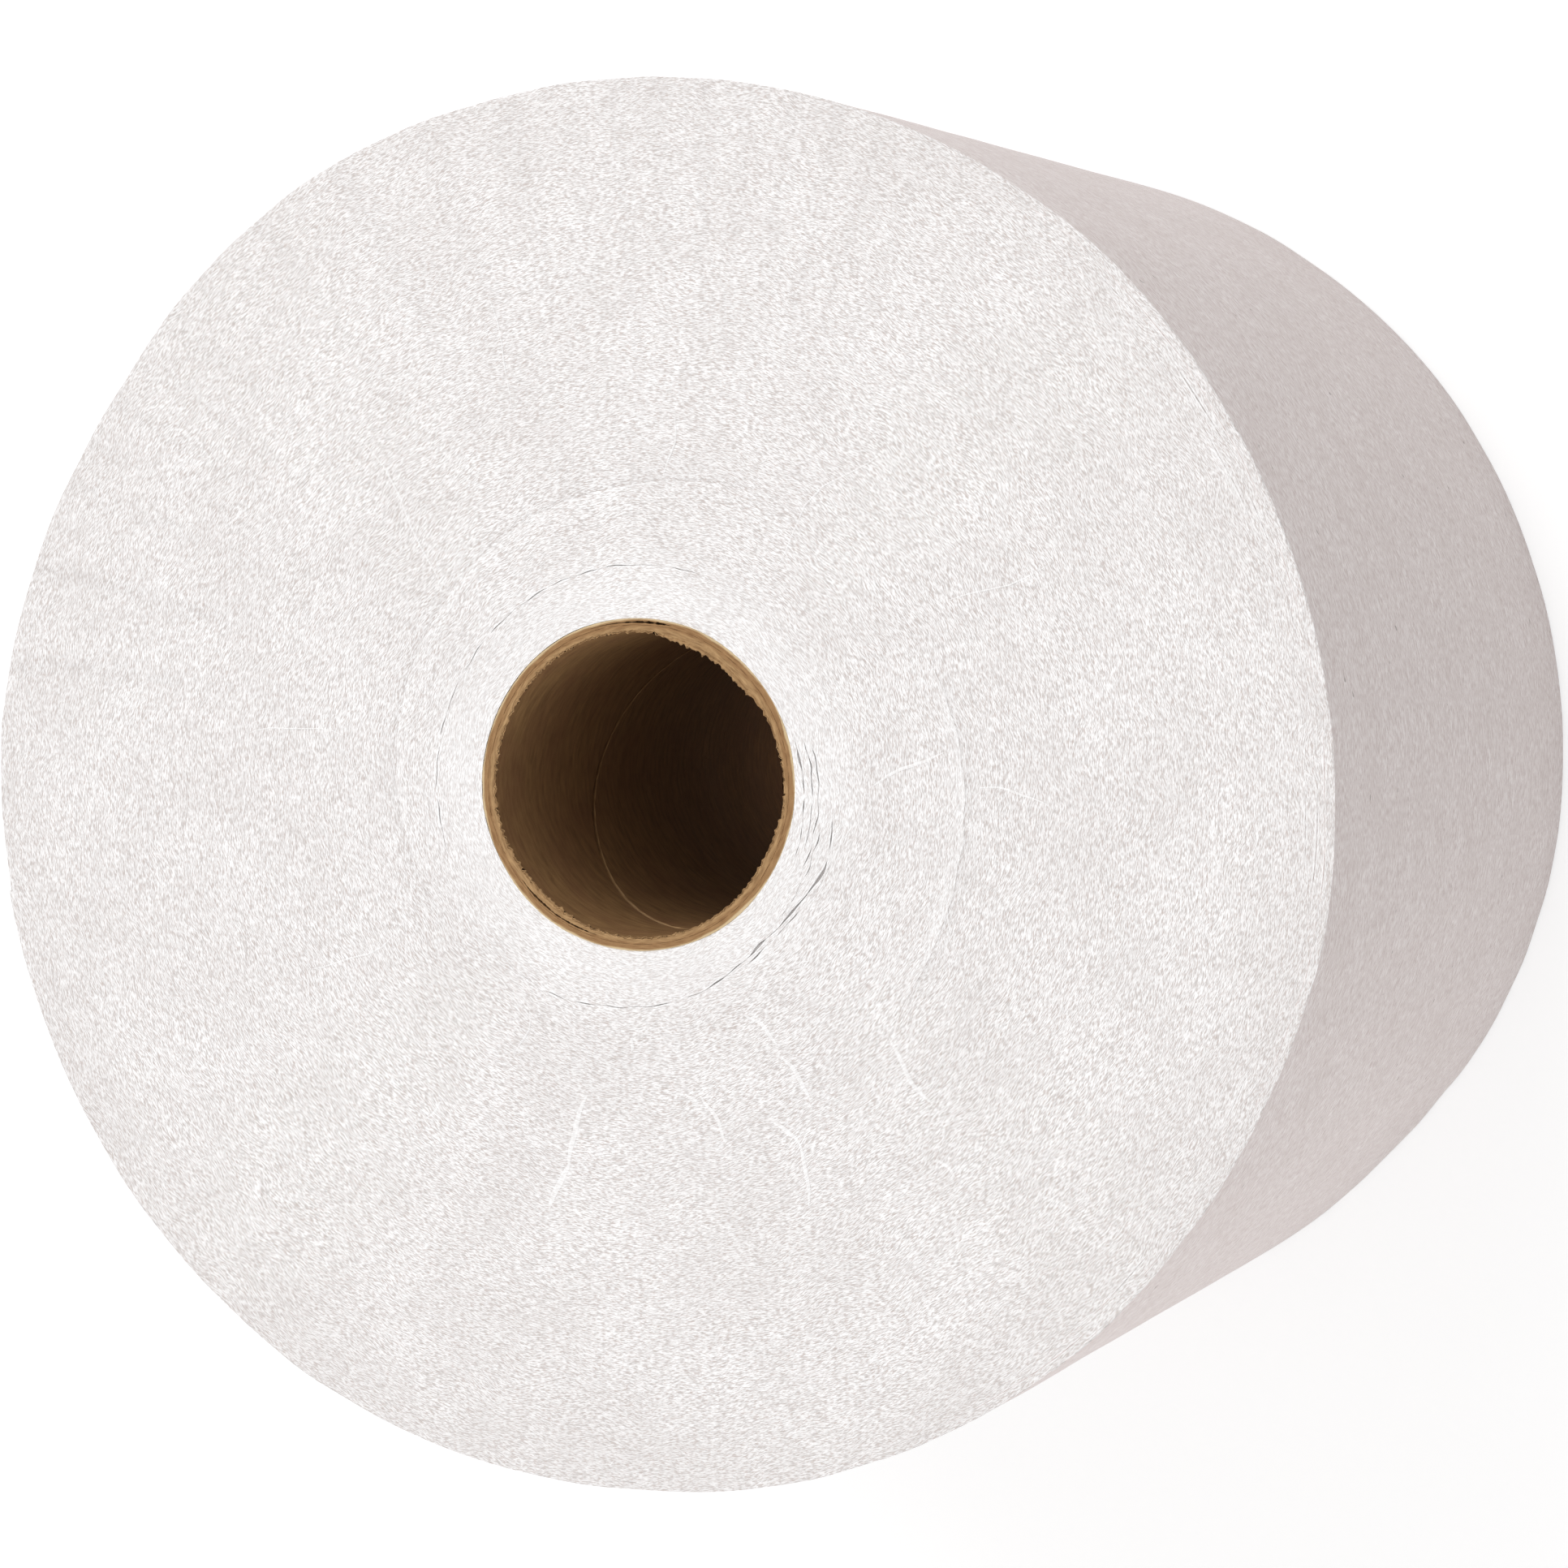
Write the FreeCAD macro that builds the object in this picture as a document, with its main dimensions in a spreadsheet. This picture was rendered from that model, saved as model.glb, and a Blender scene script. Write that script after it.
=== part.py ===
import FreeCAD, Part
import math
import os
import Sketcher
from FreeCAD import Vector

# A large roll of paper towelling, standing on its end.
# Millimetres. The origin is the middle of the lower end, and +Z runs up the core's axis.
# Seen from above, the web winds outwards clockwise, and its loose end lies on the +Y side.

DRIVING_SIZES = {
    "roll_diameter": 232.0,       # outside of the last turn, at the loose end
    "towel_width": 203.2,         # the web's width, which is the roll's length
    "core_bore": 50.0,            # inside diameter of the paperboard core
    "core_wall": 2.1,             # the core's plies together
    "core_clearance": 0.1,        # from the core to the first turn
    "loose_end_step": 0.4,        # height of the step where the web ends on the roll
    "loose_end_angle": 100.0,     # where the web ends, in degrees from +X
    "rim_bevel": 0.5,             # the soft edge that the saw leaves on each end
    "turns_inset": 11.0,          # from the core to the first stepped turn
    "turns_spacing": 5.6,         # from one stepped turn to the next
    "turns_step": 0.5,            # how far a turn stands out past the one inside it
    "turns_edge": 0.7,            # the width that the step takes
    "turns_set_back": 0.1,        # from the cut end to the proudest of the stepped turns
    "turns_margin": 5.0,          # flat ring between the stepped turns and the rim
    "inner_gap_inset": 8.0,       # from the core to the turns that have parted near it
    "inner_gap_width": 1.4,       # the widest opening between those turns
    "inner_gap_depth": 6.0,       # how far down the opening goes
    "inner_gap_angle": 232.0,     # where it is widest, in degrees from +X
    "outer_gap_inset": 3.4,       # from the rim to the outermost parted turns
    "outer_gap_width": 0.6,
    "outer_gap_depth": 4.0,
    "outer_gap_angle": 264.0,
    "seam_angle": 247.0,          # where the inner ply's seam meets the lower end, in degrees from +X
    "seam_pitch": 100.0,          # rise of the core's inner ply in one turn
    "seam_width": 0.9,            # the gap between the edges of that ply
    "seam_depth": 0.35,           # the ply's thickness
}

ROLL_RADIUS = "Sizes.roll_diameter / 2"
CORE_RADIUS = "Sizes.core_bore / 2 + Sizes.core_wall"
FIRST_TURN_RADIUS = f"{CORE_RADIUS} + Sizes.core_clearance"


def make_sheet(doc):
    sheet = doc.addObject("Spreadsheet::Sheet", "Sizes")
    for row, (alias, size) in enumerate(DRIVING_SIZES.items(), start=1):
        sheet.set(f"A{row}", alias)
        sheet.set(f"B{row}", str(size))
        sheet.setAlias(f"B{row}", alias)
    doc.recompute()


def make_body(doc, label):
    body = doc.addObject("PartDesign::Body", label)
    body.Label = label
    return body


def origin_plane(body, role):
    return next(feature for feature in body.Origin.OriginFeatures if feature.Role == role)


def make_sketch(body, name, role, height="0", turn="0"):
    """Add a sketch on one of the body's planes, raised by a height and turned by an angle in degrees."""
    sketch = body.newObject("Sketcher::SketchObject", name)
    sketch.AttachmentSupport = (origin_plane(body, role), [""])
    sketch.MapMode = "FlatFace"
    sketch.setExpression(".AttachmentOffset.Base.z", height)
    sketch.setExpression(".AttachmentOffset.Rotation.Angle", f"({turn}) * 1 deg")
    return sketch


def measure(sketch, expression):
    return float(sketch.evalExpression(expression))


def bind(sketch, expression, *constraint):
    """Add a measured constraint and tie its value to the sheet."""
    index = sketch.addConstraint(Sketcher.Constraint(*constraint, measure(sketch, expression)))
    sketch.setExpression(f"Constraints[{index}]", expression)


def bind_point(sketch, geometry, point, across, up):
    """Hold one point of a sketch at a place given by two expressions."""
    bind(sketch, across, "DistanceX", -1, 1, geometry, point)
    bind(sketch, up, "DistanceY", -1, 1, geometry, point)


def relate(sketch, *constraint):
    sketch.addConstraint(Sketcher.Constraint(*constraint))


def add_arc(sketch, centre, radius, start, end):
    circle = Part.Circle(centre, Vector(0, 0, 1), radius)
    return sketch.addGeometry(Part.ArcOfCircle(circle, start, end))


def add_circle(sketch, radius):
    circle = sketch.addGeometry(Part.Circle(Vector(), Vector(0, 0, 1), measure(sketch, radius)))
    relate(sketch, "Coincident", circle, 3, -1, 1)
    bind(sketch, radius, "Radius", circle)


def add_polygon(sketch, corners):
    """Draw a closed outline, each corner a pair of expressions: across and up."""
    places = [Vector(measure(sketch, across), measure(sketch, up), 0) for across, up in corners]
    sides = []
    for start, end in zip(places, places[1:] + places[:1]):
        sides.append(sketch.addGeometry(Part.LineSegment(start, end)))
    for side, following in zip(sides, sides[1:] + sides[:1]):
        relate(sketch, "Coincident", side, 2, following, 1)
    for side, (across, up) in zip(sides, corners):
        bind_point(sketch, side, 1, across, up)


def turn_off(body, sketch, name, axis="V_Axis", angle=360, reverse=False):
    """Cut a section away by sweeping it about an axis, as on a lathe."""
    groove = body.newObject("PartDesign::Groove", name)
    groove.Profile = sketch
    groove.ReferenceAxis = (sketch, [axis])
    groove.Angle = angle
    groove.Reversed = reverse
    return groove


# The winding's cross-section.
# Its outline is one turn of a spiral, drawn as four quarter arcs.
# Their centres are the corners of a small square, so each quarter's radius is smaller by the square's side.


def add_last_turn(sketch):
    side = measure(sketch, "Sizes.loose_end_step / 4")
    half_side = "Sizes.loose_end_step / 8"
    radius = measure(sketch, ROLL_RADIUS)
    quarters = []
    for number, (x_sign, y_sign) in enumerate(((1, -1), (1, 1), (-1, 1), (-1, -1))):
        start = number * math.pi / 2
        centre = Vector(x_sign * side / 2, y_sign * side / 2, 0)
        arc = add_arc(sketch, centre, radius - number * side, start, start + math.pi / 2)
        bind_point(sketch, arc, 3, f"{x_sign} * {half_side}", f"{y_sign} * {half_side}")
        relate(sketch, "Vertical" if number % 2 == 0 else "Horizontal", arc, 3, arc, 2)
        quarters.append(arc)
    for arc, following in zip(quarters, quarters[1:]):
        relate(sketch, "Coincident", arc, 2, following, 1)
    first, last = quarters[0], quarters[-1]
    relate(sketch, "Horizontal", first, 3, first, 1)
    bind(sketch, ROLL_RADIUS, "Radius", first)
    inside = sketch.getPoint(last, 2)
    outside = sketch.getPoint(first, 1)
    web_end = sketch.addGeometry(Part.LineSegment(inside, outside))
    relate(sketch, "Coincident", web_end, 1, last, 2)
    relate(sketch, "Coincident", web_end, 2, first, 1)


def pad_winding(body):
    sketch = make_sketch(body, "WindingOutline", "XY_Plane", turn="Sizes.loose_end_angle")
    add_last_turn(sketch)
    add_circle(sketch, FIRST_TURN_RADIUS)
    pad = body.newObject("PartDesign::Pad", "Winding")
    pad.Profile = sketch
    pad.setExpression("Length", "Sizes.towel_width")


# The turns that stand out on each end.
# Each rises from the one inside it by a small steep step, and then falls back in a low slope.
# They follow a spiral of half turns, drawn from two centres in turn, half a spacing apart.
# Both sets of half turns start from the same row of teeth in the XZ plane.


def tooth_corners(count):
    """Give the corners of the row of teeth, from the core outwards and back above the end."""
    crest = "Sizes.towel_width - Sizes.turns_set_back"
    valley = f"{crest} - Sizes.turns_step"
    above = "Sizes.towel_width + Sizes.turns_step"
    start = f"{CORE_RADIUS} + Sizes.turns_inset"
    corners = [(start, above), (start, crest)]
    for number in range(1, count + 1):
        place = f"{start} + {number} * Sizes.turns_spacing"
        corners.append((f"{place} - Sizes.turns_edge", valley))
        corners.append((place, crest))
    corners[-1] = (corners[-2][0], above)
    return corners


def draw_teeth(body):
    sketch = make_sketch(body, "TurnTeeth", "XZ_Plane")
    room = measure(sketch, f"{ROLL_RADIUS} - ({CORE_RADIUS}) - Sizes.turns_inset - Sizes.turns_margin")
    spacing = measure(sketch, "Sizes.turns_spacing")
    add_polygon(sketch, tooth_corners(int(room / spacing) - 1))
    foot = Vector(-spacing / 2, 0, 0)
    head = Vector(-spacing / 2, measure(sketch, "Sizes.towel_width"), 0)
    axis = sketch.addGeometry(Part.LineSegment(foot, head), True)
    bind_point(sketch, axis, 1, "-Sizes.turns_spacing / 2", "0")
    bind_point(sketch, axis, 2, "-Sizes.turns_spacing / 2", "Sizes.towel_width")
    return sketch


def bevel_rim(body):
    sketch = make_sketch(body, "RimBevel", "XZ_Plane")
    outside = f"{ROLL_RADIUS} + Sizes.rim_bevel"
    above = "Sizes.towel_width + Sizes.rim_bevel"
    add_polygon(sketch, (
        (f"{ROLL_RADIUS} - 2 * Sizes.rim_bevel", above),
        (outside, "Sizes.towel_width - 2 * Sizes.rim_bevel"),
        (outside, above),
    ))
    return turn_off(body, sketch, "Rim")


def mirror_to_lower_end(body, features):
    middle = body.newObject("PartDesign::Plane", "MiddlePlane")
    middle.AttachmentSupport = (origin_plane(body, "XY_Plane"), [""])
    middle.MapMode = "FlatFace"
    middle.setExpression(".AttachmentOffset.Base.z", "Sizes.towel_width / 2")
    mirrored = body.newObject("PartDesign::Mirrored", "LowerEnd")
    mirrored.Originals = features
    mirrored.MirrorPlane = (middle, [""])
    body.Tip = mirrored


# Turns that have parted.
# The opening is the crescent between two equal arcs whose centres lie the opening's width apart.


def part_turns(body, name, radius):
    size = f"Sizes.{name}_gap"
    sketch = make_sketch(body, f"{name}_crescent", "XY_Plane", "Sizes.towel_width", f"{size}_angle")
    radius_now = measure(sketch, radius)
    width_now = measure(sketch, f"{size}_width")
    tip = math.acos(-width_now / 2 / radius_now)
    outer = add_arc(sketch, Vector(), radius_now, -tip, tip)
    inner = add_arc(sketch, Vector(-width_now, 0, 0), radius_now, tip - math.pi, math.pi - tip)
    relate(sketch, "Coincident", outer, 1, inner, 1)
    relate(sketch, "Coincident", outer, 2, inner, 2)
    relate(sketch, "Coincident", outer, 3, -1, 1)
    relate(sketch, "Equal", outer, inner)
    relate(sketch, "PointOnObject", inner, 3, -1)
    bind(sketch, radius, "Radius", outer)
    bind(sketch, f"{size}_width", "DistanceX", inner, 3, -1, 1)
    pocket = body.newObject("PartDesign::Pocket", f"{name}_gap")
    pocket.Profile = sketch
    pocket.setExpression("Length", f"{size}_depth")


def make_paper(doc):
    body = make_body(doc, "wound_paper")
    pad_winding(body)
    teeth = draw_teeth(body)
    first_half = turn_off(body, teeth, "FirstHalfTurns", angle=180)
    second_half = turn_off(body, teeth, "SecondHalfTurns", axis="Axis0", angle=180, reverse=True)
    rim = bevel_rim(body)
    mirror_to_lower_end(body, [first_half, second_half, rim])
    part_turns(body, "inner", f"{CORE_RADIUS} + Sizes.inner_gap_inset")
    part_turns(body, "outer", f"{ROLL_RADIUS} - Sizes.outer_gap_inset")
    return body


# The core is a spirally wound paperboard tube, as long as the web is wide.
# The strips of its inner ply don't quite meet, which leaves a shallow helical groove up the bore.


def pad_core(body):
    sketch = make_sketch(body, "CoreRing", "XY_Plane")
    add_circle(sketch, "Sizes.core_bore / 2")
    add_circle(sketch, CORE_RADIUS)
    pad = body.newObject("PartDesign::Pad", "CoreWall")
    pad.Profile = sketch
    pad.setExpression("Length", "Sizes.towel_width")


def cut_ply_seam(body):
    sketch = make_sketch(body, "SeamSection", "XZ_Plane")
    inside = "Sizes.core_bore / 2 - Sizes.seam_depth"
    outside = "Sizes.core_bore / 2 + Sizes.seam_depth"
    half = "Sizes.seam_width / 2"
    add_polygon(sketch, ((inside, f"-{half}"), (outside, f"-{half}"), (outside, half), (inside, half)))
    groove = body.newObject("PartDesign::SubtractiveHelix", "PlySeam")
    groove.Profile = sketch
    groove.ReferenceAxis = (sketch, ["V_Axis"])
    groove.Mode = "pitch-height-angle"
    groove.setExpression("Pitch", "Sizes.seam_pitch")
    groove.setExpression("Height", "Sizes.towel_width")


def make_core(doc):
    body = make_body(doc, "core_tube")
    pad_core(body)
    cut_ply_seam(body)
    body.setExpression(".Placement.Rotation.Angle", "Sizes.seam_angle * 1 deg")
    return body


def find_faults(doc, bodies):
    faults = []
    for item in doc.Objects:
        if "Invalid" in item.State or "Error" in item.State:
            faults.append(f"{item.Name} is {item.State}")
    for body in bodies:
        shape = body.Shape
        if shape.isNull() or not shape.isValid() or len(shape.Solids) != 1:
            faults.append(f"{body.Label} isn't one valid solid")
    return faults


def main():
    doc = FreeCAD.newDocument("paper_towel_roll")
    make_sheet(doc)
    bodies = [make_paper(doc), make_core(doc)]
    doc.recompute()
    faults = find_faults(doc, bodies)
    if faults:
        raise RuntimeError("; ".join(faults))
    os.makedirs("parts", exist_ok=True)
    for body in bodies:
        body.Shape.exportStep(f"parts/{body.Label}.step")
        box = body.Shape.optimalBoundingBox(True, False)
        print(body.Label, round(box.XLength, 1), "x", round(box.YLength, 1), "x", round(box.ZLength, 1), "mm")


main()
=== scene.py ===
# %% [markdown]
# # A wide roll of paper towelling
#
# The roll stands on its end and is seen from above. It has two real pieces: a web of bleached
# tissue wound hard in about 780 turns, and a spirally wound paperboard core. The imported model
# gives both at their real size. This lesson gives them their finish: the sawn ends with their
# thousands of cut fibres, the turns that have parted or slipped, the smooth outer web with its
# loose end, and the torn, layered end of the core.

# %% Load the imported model
import math

import bpy
import numpy as np
from mathutils import Matrix, Vector


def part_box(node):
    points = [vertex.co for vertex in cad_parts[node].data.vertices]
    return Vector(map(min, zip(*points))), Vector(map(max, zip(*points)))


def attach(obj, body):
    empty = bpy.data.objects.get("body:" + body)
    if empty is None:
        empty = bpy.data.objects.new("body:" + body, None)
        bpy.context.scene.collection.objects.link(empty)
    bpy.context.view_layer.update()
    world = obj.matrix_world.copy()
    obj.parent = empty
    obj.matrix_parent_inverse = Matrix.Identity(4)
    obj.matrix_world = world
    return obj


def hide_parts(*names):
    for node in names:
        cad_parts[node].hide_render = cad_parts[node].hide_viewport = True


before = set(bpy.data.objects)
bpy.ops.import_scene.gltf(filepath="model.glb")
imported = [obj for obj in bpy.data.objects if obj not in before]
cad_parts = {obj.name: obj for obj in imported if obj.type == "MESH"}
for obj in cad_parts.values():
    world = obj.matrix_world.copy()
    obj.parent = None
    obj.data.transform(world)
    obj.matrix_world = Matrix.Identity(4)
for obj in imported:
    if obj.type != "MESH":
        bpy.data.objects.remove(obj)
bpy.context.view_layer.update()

# %% [markdown]
# ## Sizes
#
# All places are worked out in millimetres, because that is how a roll is measured, and turned
# to metres only when they go into a mesh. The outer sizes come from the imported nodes, so the
# dressed roll always has the size of the solid that it stands for. The core's wall and its
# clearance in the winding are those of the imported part.

# %% Sizes taken from the nodes
MM = 0.001
CORE_WALL = 2.1
CLEARANCE = 0.1
paper_low, paper_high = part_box("wound_paper")
core_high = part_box("core_tube")[1]
HEIGHT = paper_high.z / MM
ROLL_RADIUS = min(paper_high.x, paper_high.y, -paper_low.x, -paper_low.y) / MM
CORE_RADIUS = core_high.x / MM
BORE_RADIUS = CORE_RADIUS - CORE_WALL
print("height", round(HEIGHT, 2), "radius", round(ROLL_RADIUS, 2), "core", round(CORE_RADIUS, 2))

# %% [markdown]
# ## Angles as the picture shows them
#
# A feature is found in the photograph by its angle round the core: 0 is to the right of the
# picture, 90 is down. The camera looks down on the roll with the model's +X upwards in the
# picture and its +Y to the left, so one short function turns a picture angle to the model's.

# %% Picture angle and model angle
def swap_angle(degrees):
    """Turns the picture's angle to the model's or back: the same rule serves both ways."""
    return (270.0 - degrees) % 360.0


def through(places, degrees):
    """A closed path round the roll: the value at each angle, through the places given."""
    angles, values = zip(*places)
    return np.interp(degrees, angles, values, period=360.0)


def fade(degrees, start, full, ebb, end):
    """Rises from 0 at start to 1 at full, and falls from ebb to 0 at end, round the circle."""
    turned = (degrees - start) % 360.0
    corners = [0.0] + [(corner - start) % 360.0 for corner in (full, ebb, end)] + [360.0]
    return np.interp(turned, corners, [0.0, 1.0, 1.0, 0.0, 0.0])


print("picture right is model angle", swap_angle(0))

# %% [markdown]
# ## Unevenness
#
# Paper is never quite even. A sum of a few cosine waves in all directions gives a smooth,
# random surface of any wavelength, and it is the same on each run because its seed is fixed.
# Waves that run round the circle have whole numbers of periods, so they close on themselves.

# %% Smooth random waves
WAVES = 20


def unevenness(place, wavelength, seed):
    """A random value of about -1 to 1 at each place, with bumps about one wavelength apart."""
    random = np.random.default_rng(seed)
    total = np.zeros(len(place))
    for _ in range(WAVES):
        direction = random.normal(size=3)
        direction *= math.tau / (np.linalg.norm(direction) * wavelength * random.uniform(0.7, 1.4))
        total += np.cos(place @ direction + random.uniform(0, math.tau))
    return total / math.sqrt(WAVES)


def waver(degrees, fewest, most, seed):
    """A random value of about -1 to 1 round the circle, with fewest to most waves in a turn."""
    random = np.random.default_rng(seed)
    counts = random.integers(fewest, most + 1, WAVES)
    phases = random.uniform(0, math.tau, WAVES)
    total = sum(np.cos(np.radians(degrees) * n + p) for n, p in zip(counts, phases))
    return total / math.sqrt(WAVES)


print("waves in each sum", WAVES)

# %% [markdown]
# A paperboard tube is never quite round either, so its outline is a small wave round the
# circle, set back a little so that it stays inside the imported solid. The winding's hole follows
# it, and stands off from it where the picture shows a gap.

# %% The core's outline
CORE_SET_BACK = 0.1
CORE_WAVE = 0.08


def core_outline(degrees):
    """The core's outer radius at each picture angle."""
    return CORE_RADIUS - CORE_SET_BACK + CORE_WAVE * np.clip(waver(degrees, 3, 9, seed=20), -1.2, 1.2)


print("core outside about", round(float(core_outline(np.array([0.0]))[0]), 2), "mm in radius")

# %% [markdown]
# ## The winding
#
# On the real roll each end shows the sawn edge of every turn. The end is nearly flat, but some
# turns have slipped a little along the core, a band edge spirals outwards where the tension of
# the web changed, and near the core a few turns have parted and left slits with torn lips.
#
# Such an end could be a plain disc with a bump map, but then the slits would have no depth.
# Instead the winding is one closed profile turned round the core. Its rings are not spread
# evenly: they follow guide lines, such as a slit or the band edge, so that each of those is a
# crisp edge of the mesh and needs no more rings than a lip and a floor on each side.

# %% Guide lines read from the picture, as (picture angle, radius)
GAP_PATH = [
    (8, 33.6), (18, 34.5), (26, 34.2), (33, 33.5), (40, 33.0), (52, 33.1), (60, 33.8), (70, 34.9),
    (79, 35.6), (95, 36.3), (115, 37.6), (135, 36.9), (157, 35.1), (220, 35.3), (285, 35.7), (335, 34.4),
]
GAP_WIDTH = [
    (8, 0.0), (14, 0.25), (18, 0.08), (26, 0.5), (30, 0.15), (38, 0.42), (43, 0.08), (50, 0.36), (57, 0.1),
    (65, 0.25), (72, 0.05), (95, 0.12), (118, 0.08), (135, 0.0), (152, 0.0), (166, 0.12), (205, 0.08),
    (262, 0.12), (300, 0.03), (335, 0.0),
]
BAND_PATH = [
    (0, 55.4), (20, 56.0), (43, 56.9), (75, 54.0), (110, 45.0), (144, 40.2), (173, 41.9), (198, 43.3),
    (220, 44.7), (241, 46.7), (263, 48.0), (288, 50.8), (306, 51.5), (328, 52.2), (345, 54.4),
]
print("gap of parted turns", len(GAP_PATH), "points, band edge", len(BAND_PATH), "points")

# %% [markdown]
# A slit is described by its path, its width at each angle, its depth and how dark a painted
# shade makes its floor. The short slits close to the core lie to the right of it in the picture,
# and three faint ones run along the rim. All are shallow, because torn fibres fill them. Their
# floors get a grey painted shade in place of deep dark gaps, so they show as grey lines with
# white lips and never as black.

# %% Slits between turns
def short_slit(path, width, depth, shade):
    """A slit along a turn: it opens and closes a few times on its way, and tapers at its ends."""
    start, end = path[0][0], path[-1][0]
    shares = (0.0, 0.16, 0.34, 0.5, 0.66, 0.84, 1.0)
    openings = (0.0, 1.0, 0.35, 0.9, 0.15, 0.7, 0.0)
    widths = [(start + (end - start) * share, width * opening) for share, opening in zip(shares, openings)]
    return {"path": path, "width": widths, "depth": depth, "shade": shade}


SLITS = [
    short_slit([(342, 27.9), (358, 28.4), (372, 28.9), (383, 29.3)], 0.3, 0.26, 1.0),
    short_slit([(345, 29.4), (354, 29.9), (366, 30.0), (381, 30.3)], 0.3, 0.26, 1.0),
    short_slit([(347, 30.6), (358, 31.0), (377, 31.2), (389, 31.3)], 0.26, 0.24, 1.0),
    short_slit([(371, 32.0), (382, 32.0), (392, 32.1), (401, 32.3)], 0.2, 0.22, 0.7),
    {"path": GAP_PATH, "width": GAP_WIDTH, "depth": 0.28, "shade": 0.9},
    {
        "path": [(angle, radius + 0.8) for angle, radius in GAP_PATH],
        "width": [(20, 0.0), (24, 0.2), (29, 0.0), (35, 0.0), (40, 0.26), (46, 0.0), (52, 0.2), (58, 0.0)],
        "depth": 0.26,
        "shade": 0.85,
    },
    short_slit([(322, 111.1), (340, 111.3), (372, 111.0), (398, 111.1)], 0.1, 0.1, 0.3),
    short_slit([(306, 112.8), (345, 112.7), (380, 112.9), (420, 112.8)], 0.12, 0.12, 0.35),
    short_slit([(300, 114.1), (340, 114.0), (385, 114.2), (435, 114.1)], 0.12, 0.12, 0.35),
]
print("slits", len(SLITS))

# %% [markdown]
# The profile is drawn in the XZ plane as by hand: one vertex, extruded from point to point
# round the section. The Spin tool could turn it about the core's axis, but it takes half a
# minute for this many columns, and the Screw modifier with no rise does the same in a moment.
# Two points side by side that stand for a lip and a floor start almost in the same place. They
# get their real width afterwards, which differs round the roll.

# %% Draw a closed profile and turn it round
def turned_profile(name, points, segments):
    """A closed surface of revolution about Z, from a closed chain of (radius, height) points."""
    bpy.ops.object.select_all(action="DESELECT")
    radius, height = points[0]
    bpy.ops.mesh.primitive_plane_add(size=MM, location=(radius * MM, 0, height * MM))
    bpy.ops.object.transform_apply(location=True, rotation=True, scale=True)
    piece = bpy.context.object
    piece.name = piece.data.name = name
    bpy.ops.object.mode_set(mode="EDIT")
    bpy.ops.mesh.select_all(action="SELECT")
    bpy.ops.mesh.merge(type="CENTER")
    for before, after in zip(points, points[1:] + points[:1]):
        step = ((after[0] - before[0]) * MM, 0, (after[1] - before[1]) * MM)
        bpy.ops.mesh.extrude_region_move(TRANSFORM_OT_translate={"value": step})
    same_place = 0.002 * MM
    bpy.ops.mesh.select_all(action="SELECT")
    bpy.ops.mesh.remove_doubles(threshold=same_place)
    bpy.ops.object.mode_set(mode="OBJECT")
    turn = piece.modifiers.new("turn", "SCREW")
    turn.axis, turn.angle, turn.screw_offset = "Z", math.tau, 0.0
    turn.steps = turn.render_steps = segments
    turn.use_merge_vertices, turn.merge_threshold = True, same_place
    bpy.ops.object.modifier_apply(modifier=turn.name)
    bpy.ops.object.mode_set(mode="EDIT")
    bpy.ops.mesh.select_all(action="SELECT")
    bpy.ops.mesh.normals_make_consistent(inside=False)
    bpy.ops.object.mode_set(mode="OBJECT")
    return piece


def read_places(piece):
    """The piece's vertices in millimetres, one row each."""
    places = np.empty(len(piece.data.vertices) * 3)
    piece.data.vertices.foreach_get("co", places)
    return places.reshape(-1, 3) / MM


def write_places(piece, places):
    """Moves the piece's vertices, as a sculptor would, to places in millimetres."""
    piece.data.vertices.foreach_set("co", (places * MM).ravel())
    piece.data.update()


print("a profile takes one extrusion a point")

# %% Rings of the winding's template
LIP, FLOOR = 0.06, 0.02
HOLE_RADIUS = CORE_RADIUS + CLEARANCE
BAND_TEMPLATE = 50.0
PLAIN_TEMPLATE = 62.0
RIM_BEVEL = 0.45
BETWEEN_GUIDES = [4, 3, 3, 2, 8, 1, 18, 10, 40, 2, 2, 2]

for slit in SLITS:
    radii = [radius for _, radius in slit["path"]]
    slit["template"] = round((min(radii) + max(radii)) / 2, 2)
guide_rings = [[HOLE_RADIUS]]
guide_rings += [[slit["template"] + side for side in (-LIP, -FLOOR, FLOOR, LIP)] for slit in SLITS]
guide_rings += [[BAND_TEMPLATE - FLOOR, BAND_TEMPLATE + FLOOR], [PLAIN_TEMPLATE], [ROLL_RADIUS - RIM_BEVEL]]
guide_rings.sort()
top_rings = []
for rings, following, between in zip(guide_rings, guide_rings[1:], BETWEEN_GUIDES):
    spaced = np.linspace(rings[-1], following[0], between + 2)[1:-1]
    top_rings += rings + [float(radius) for radius in spaced]
top_rings += guide_rings[-1]
print("guides", len(guide_rings), "rings on the upper end", len(top_rings))

# %% [markdown]
# The whole section runs from the hole out over the upper end, down the side, and back along the
# lower end. The lower end is hidden in the picture, so it is finished plainly: slipped turns
# and a soft rim, but no parted turns. Two extra rings near each rim keep the side's smooth
# shading clear of the rim's bevel.

# %% Turn the winding's template
SEGMENTS = 512
SIDE_RINGS = 14
NEAR_RIM = [0.8, 2.5]
SIDE_MARGIN = 9.0
LOWER_RINGS = 20

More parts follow.
